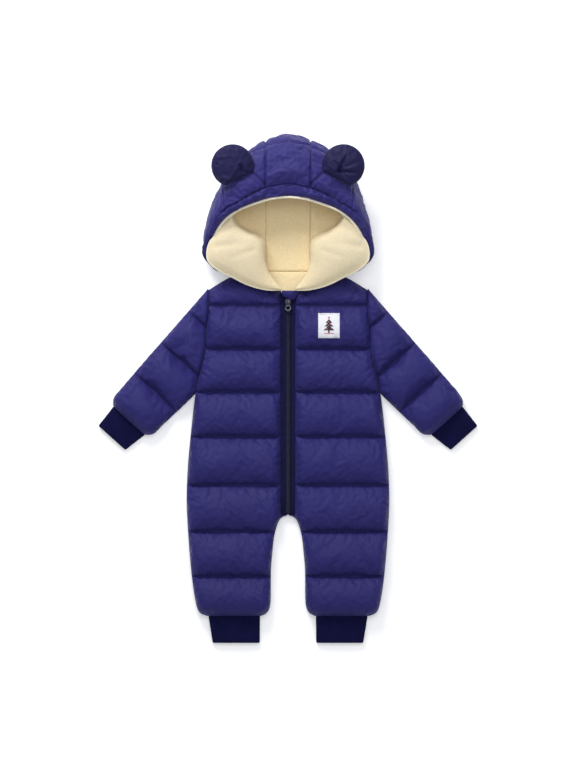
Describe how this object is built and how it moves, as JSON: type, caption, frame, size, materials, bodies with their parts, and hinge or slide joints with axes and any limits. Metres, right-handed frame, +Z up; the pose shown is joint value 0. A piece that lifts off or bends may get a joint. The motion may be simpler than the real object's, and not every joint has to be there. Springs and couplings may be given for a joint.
{
  "type": "baby snowsuit",
  "caption": "Quilted hooded baby snowsuit laid out flat, with bear-ear hood, fleece lining, centre front zip, knitted cuffs and ankle ribs.",
  "frame": {"origin": "middle of the underside of the laid-out garment's box, on the surface that it lies on", "axes": "+Y from the ankles to the hood, +Z up from the surface, +X to the wearer's left"},
  "size_m": [0.645, 0.86, 0.1064],
  "materials": {
    "shell_cloth": "matt woven polyester shell, quilted over wadding",
    "cream_fleece": "short cream fleece",
    "rib_knit": "double rib knit",
    "zip_tape": "woven zip tape",
    "zip_chain": "dark nylon zip teeth",
    "zip_metal": "dark lacquered zinc",
    "patch_cloth": "white woven label with a small tree motif"
  },
  "bodies": {
    "suit": {"front_left": "shell_cloth", "front_right": "shell_cloth", "back": "shell_cloth", "sleeve_left": "shell_cloth", "sleeve_right": "shell_cloth", "hood_center": "shell_cloth", "hood_left": "shell_cloth", "hood_right": "shell_cloth", "brim": "shell_cloth", "ear_left": "shell_cloth", "ear_right": "shell_cloth", "chin_guard": "shell_cloth", "hood_lining_center": "cream_fleece", "hood_lining_left": "cream_fleece", "hood_lining_right": "cream_fleece", "neck_lining": "cream_fleece", "cuff_left": "rib_knit", "cuff_right": "rib_knit", "ankle_left": "rib_knit", "ankle_right": "rib_knit", "zip_tape_left": "zip_tape", "zip_tape_right": "zip_tape", "zip_chain": "zip_chain", "zip_slider": "zip_metal", "chest_patch": "patch_cloth"},
    "pull_tab": {"zip_pull": "zip_metal"}
  },
  "joints": [
    {"name": "pull_tab_swing", "type": "hinge", "parent": "suit", "child": "pull_tab", "pos_m": [0, 0.1485, 0.0221], "axis": [-1, 0, 0], "range_deg": [0, 140]}
  ]
}
